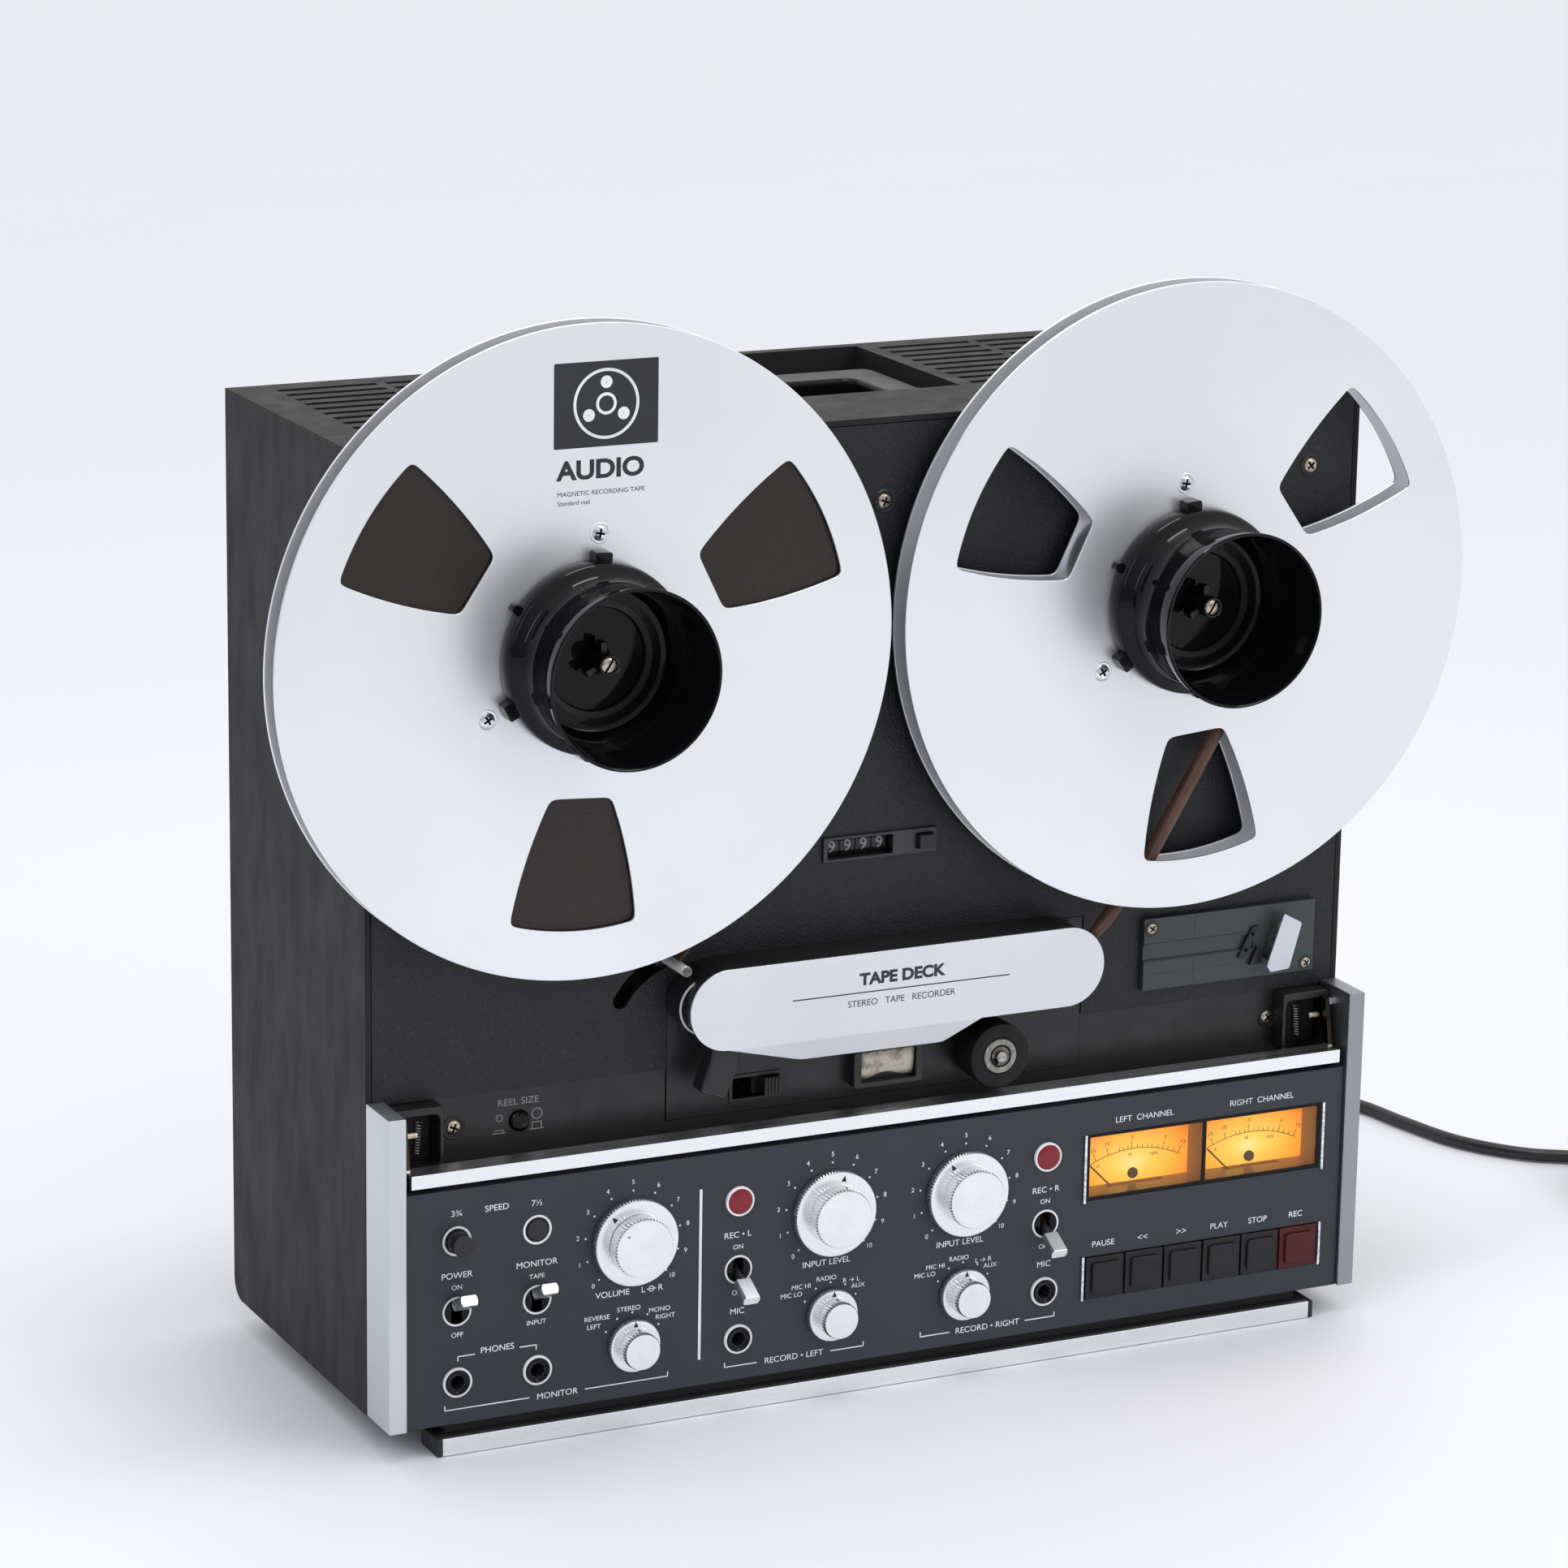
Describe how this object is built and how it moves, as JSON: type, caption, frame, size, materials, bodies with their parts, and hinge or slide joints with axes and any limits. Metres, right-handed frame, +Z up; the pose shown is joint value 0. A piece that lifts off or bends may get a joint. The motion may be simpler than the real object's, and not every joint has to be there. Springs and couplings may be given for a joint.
{
  "type": "reel to reel tape deck",
  "caption": "Upright open-reel tape deck with two large metal reels on flared hub adaptors, a head block, lit level meters, knobs, toggles and transport keys.",
  "frame": {"origin": "on the ground under the middle of the object, measured without the mains cord, coil and plug", "axes": "+X to the right as seen from the front, +Y to the back, +Z up"},
  "size_m": [0.7675, 0.337, 0.4586],
  "materials": {
    "cabinet": "fine-textured charcoal finish, matt",
    "deck": "charcoal leather-grain paint",
    "panel": "smooth slate grey paint, semi-matt",
    "chassis": "die-cast, plain",
    "motor": "turned, bright",
    "black": "black moulded plastic",
    "gloss": "glossy black moulded plastic",
    "rubber": "black, matt",
    "aluminium": "brushed and spun, satin",
    "reel": "satin anodised with a fine radial brushing",
    "chrome": "polished plating",
    "tape": "dark brown wound tape edge, faint rings",
    "meter": "amber backlit scale",
    "needle": "thin black pointer",
    "record": "dark red moulded key"
  },
  "bodies": {
    "deck": {"cabinet_shell": "cabinet", "rear_panel": "cabinet", "deck_panel": "deck", "lower_deck_panel": "panel", "chassis_frame": "chassis", "left_reel_motor": "motor", "right_reel_motor": "motor", "head_block_base": "black", "head_cover": "aluminium", "head_assembly": "chrome", "capstan_motor": "motor", "splicer_base": "deck", "control_panel": "panel", "meter_unit": "meter", "left_trim": "aluminium", "right_trim": "aluminium", "foot_bar": "aluminium", "power_cord": "rubber", "cord_coil": "rubber", "power_plug": "rubber"},
    "handle": {"carrying_handle": "gloss"},
    "left_spool": {"left_reel": "reel", "left_tape_pack": "tape", "left_hub_adaptor": "gloss", "left_turntable": "motor"},
    "right_spool": {"right_reel": "reel", "right_hub_adaptor": "gloss", "right_turntable": "motor"},
    "capstan": {"capstan_rotor": "chrome"},
    "pinch_arm": {"pinch_roller_arm": "motor"},
    "pinch_wheel": {"pinch_roller": "rubber"},
    "tension_arm": {"tape_tension_arm": "chrome"},
    "edit_lever": {"edit_lever": "black"},
    "edit_slider": {"edit_slider": "black"},
    "splicer_arm": {"splicer_arm": "aluminium"},
    "counter": {"counter_drums": "black"},
    "counter_reset": {"counter_reset_button": "black"},
    "reel_size": {"reel_size_button": "black"},
    "cover_bar": {"cover_bar": "aluminium"},
    "volume_outer": {"volume_outer_knob": "aluminium"},
    "volume_inner": {"volume_inner_knob": "aluminium"},
    "input_level_left": {"input_level_left_knob": "aluminium"},
    "input_level_right": {"input_level_right_knob": "aluminium"},
    "input_selector_left": {"input_selector_left_knob": "aluminium"},
    "input_selector_right": {"input_selector_right_knob": "aluminium"},
    "monitor_selector": {"monitor_selector_knob": "aluminium"},
    "power_toggle": {"power_toggle": "chrome"},
    "monitor_toggle": {"monitor_toggle": "chrome"},
    "record_left_toggle": {"record_left_toggle": "chrome"},
    "record_right_toggle": {"record_right_toggle": "chrome"},
    "speed_slow": {"speed_slow_button": "black"},
    "speed_fast": {"speed_fast_button": "black"},
    "left_needle": {"left_meter_needle": "needle"},
    "right_needle": {"right_meter_needle": "needle"},
    "pause_key": {"pause_key": "black"},
    "rewind_key": {"rewind_key": "black"},
    "fast_forward_key": {"fast_forward_key": "black"},
    "play_key": {"play_key": "black"},
    "stop_key": {"stop_key": "black"},
    "record_key": {"record_key": "record"}
  },
  "joints": [
    {"name": "handle_fold", "type": "hinge", "parent": "deck", "child": "handle", "pos_m": [0, 0.01315, 0.4002], "axis": [1, 0, 0], "range_deg": [0, 85]},
    {"name": "left_spool_spin", "type": "hinge", "parent": "deck", "child": "left_spool", "pos_m": [-0.1365, -0.04885, 0.3253], "axis": [0, -1, 0], "continuous": true},
    {"name": "right_spool_spin", "type": "hinge", "parent": "deck", "child": "right_spool", "pos_m": [0.1365, -0.04885, 0.3253], "axis": [0, -1, 0], "continuous": true},
    {"name": "capstan_spin", "type": "hinge", "parent": "deck", "child": "capstan", "pos_m": [0.052, -0.04885, 0.161], "axis": [0, -1, 0], "continuous": true},
    {"name": "pinch_arm_swing", "type": "hinge", "parent": "deck", "child": "pinch_arm", "pos_m": [0.08, -0.04885, 0.131], "axis": [0, 1, 0], "range_deg": [0, 15], "stiffness_Nm_per_rad": 0.6, "springref_deg": -5.73},
    {"name": "pinch_roller_spin", "type": "hinge", "parent": "pinch_arm", "child": "pinch_wheel", "pos_m": [0.0517, -0.04885, 0.1363], "axis": [0, 1, 0], "continuous": true},
    {"name": "tension_arm_swing", "type": "hinge", "parent": "deck", "child": "tension_arm", "pos_m": [-0.086, -0.04885, 0.158], "axis": [0, -1, 0], "range_deg": [0, 46], "stiffness_Nm_per_rad": 0.08, "springref_deg": -5.73},
    {"name": "edit_lever_swing", "type": "hinge", "parent": "deck", "child": "edit_lever", "pos_m": [-0.075, -0.04885, 0.158], "axis": [0, 1, 0], "range_deg": [-8, 10]},
    {"name": "edit_slider_slide", "type": "slide", "parent": "deck", "child": "edit_slider", "axis": [1, 0, 0], "range_m": [-0.0095, 0]},
    {"name": "splicer_arm_lift", "type": "hinge", "parent": "deck", "child": "splicer_arm", "pos_m": [0.193, -0.05235, 0.181], "axis": [-1, 0, 0], "range_deg": [0, 60]},
    {"name": "counter_turn", "type": "hinge", "parent": "deck", "child": "counter", "pos_m": [0, -0.03845, 0.2289], "axis": [1, 0, 0], "continuous": true},
    {"name": "counter_reset_press", "type": "slide", "parent": "deck", "child": "counter_reset", "axis": [0, 1, 0], "range_m": [0, 0.0025], "stiffness_N_per_m": 250},
    {"name": "reel_size_press", "type": "slide", "parent": "deck", "child": "reel_size", "axis": [0, 1, 0], "range_m": [0, 0.003]},
    {"name": "cover_bar_swing", "type": "hinge", "parent": "deck", "child": "cover_bar", "pos_m": [0, -0.05885, 0.138], "axis": [-1, 0, 0], "range_deg": [0, 40], "stiffness_Nm_per_rad": 0.8, "springref_deg": -5.73},
    {"name": "volume_outer_turn", "type": "hinge", "parent": "deck", "child": "volume_outer", "pos_m": [-0.1184, -0.04885, 0.0801], "axis": [0, 1, 0], "range_deg": [-93, 177]},
    {"name": "volume_inner_turn", "type": "hinge", "parent": "deck", "child": "volume_inner", "pos_m": [-0.1184, -0.04885, 0.0801], "axis": [0, 1, 0], "range_deg": [-85, 185]},
    {"name": "input_level_left_turn", "type": "hinge", "parent": "deck", "child": "input_level_left", "pos_m": [-0.028, -0.04885, 0.0801], "axis": [0, 1, 0], "range_deg": [-147, 123]},
    {"name": "input_level_right_turn", "type": "hinge", "parent": "deck", "child": "input_level_right", "pos_m": [0.0342, -0.04885, 0.0801], "axis": [0, 1, 0], "range_deg": [-103, 167]},
    {"name": "input_selector_left_turn", "type": "hinge", "parent": "deck", "child": "input_selector_left", "pos_m": [-0.028, -0.04885, 0.0352], "axis": [0, 1, 0], "range_deg": [-60, 60]},
    {"name": "input_selector_right_turn", "type": "hinge", "parent": "deck", "child": "input_selector_right", "pos_m": [0.0342, -0.04885, 0.0352], "axis": [0, 1, 0], "range_deg": [-60, 60]},
    {"name": "monitor_selector_turn", "type": "hinge", "parent": "deck", "child": "monitor_selector", "pos_m": [-0.1184, -0.04885, 0.0352], "axis": [0, 1, 0], "range_deg": [-60, 60]},
    {"name": "power_toggle_flip", "type": "hinge", "parent": "deck", "child": "power_toggle", "pos_m": [-0.1959, -0.06785, 0.0605], "axis": [1, 0, 0], "range_deg": [0, 56]},
    {"name": "monitor_toggle_flip", "type": "hinge", "parent": "deck", "child": "monitor_toggle", "pos_m": [-0.1608, -0.06785, 0.0605], "axis": [1, 0, 0], "range_deg": [0, 56]},
    {"name": "record_left_toggle_flip", "type": "hinge", "parent": "deck", "child": "record_left_toggle", "pos_m": [-0.0706, -0.06785, 0.0605], "axis": [1, 0, 0], "range_deg": [-56, 0]},
    {"name": "record_right_toggle_flip", "type": "hinge", "parent": "deck", "child": "record_right_toggle", "pos_m": [0.0731, -0.06785, 0.0605], "axis": [1, 0, 0], "range_deg": [-56, 0]},
    {"name": "speed_slow_press", "type": "slide", "parent": "deck", "child": "speed_slow", "axis": [0, 1, 0], "range_m": [0, 0.0068]},
    {"name": "speed_fast_press", "type": "slide", "parent": "deck", "child": "speed_fast", "axis": [0, 1, 0], "range_m": [-0.0068, 0]},
    {"name": "pause_key_press", "type": "slide", "parent": "deck", "child": "pause_key", "axis": [0, 1, 0], "range_m": [0, 0.003], "stiffness_N_per_m": 300},
    {"name": "rewind_key_press", "type": "slide", "parent": "deck", "child": "rewind_key", "axis": [0, 1, 0], "range_m": [0, 0.003], "stiffness_N_per_m": 300},
    {"name": "fast_forward_key_press", "type": "slide", "parent": "deck", "child": "fast_forward_key", "axis": [0, 1, 0], "range_m": [0, 0.003], "stiffness_N_per_m": 300},
    {"name": "play_key_press", "type": "slide", "parent": "deck", "child": "play_key", "axis": [0, 1, 0], "range_m": [0, 0.003], "stiffness_N_per_m": 300},
    {"name": "stop_key_press", "type": "slide", "parent": "deck", "child": "stop_key", "axis": [0, 1, 0], "range_m": [0, 0.003], "stiffness_N_per_m": 300},
    {"name": "record_key_press", "type": "slide", "parent": "deck", "child": "record_key", "axis": [0, 1, 0], "range_m": [0, 0.003], "stiffness_N_per_m": 300},
    {"name": "left_needle_swing", "type": "hinge", "parent": "deck", "child": "left_needle", "pos_m": [0.1218, -0.04885, 0.0575], "axis": [0, 1, 0], "range_deg": [0, 90], "stiffness_Nm_per_rad": 0.0005},
    {"name": "right_needle_swing", "type": "hinge", "parent": "deck", "child": "right_needle", "pos_m": [0.1794, -0.04885, 0.0575], "axis": [0, 1, 0], "range_deg": [0, 90], "stiffness_Nm_per_rad": 0.0005}
  ],
  "couplings": [
    {"joint": "right_spool_spin", "follows": "left_spool_spin", "ratio": 2.1565},
    {"joint": "counter_turn", "follows": "left_spool_spin", "ratio": 0.2157},
    {"joint": "speed_fast_press", "follows": "speed_slow_press", "ratio": -1}
  ]
}
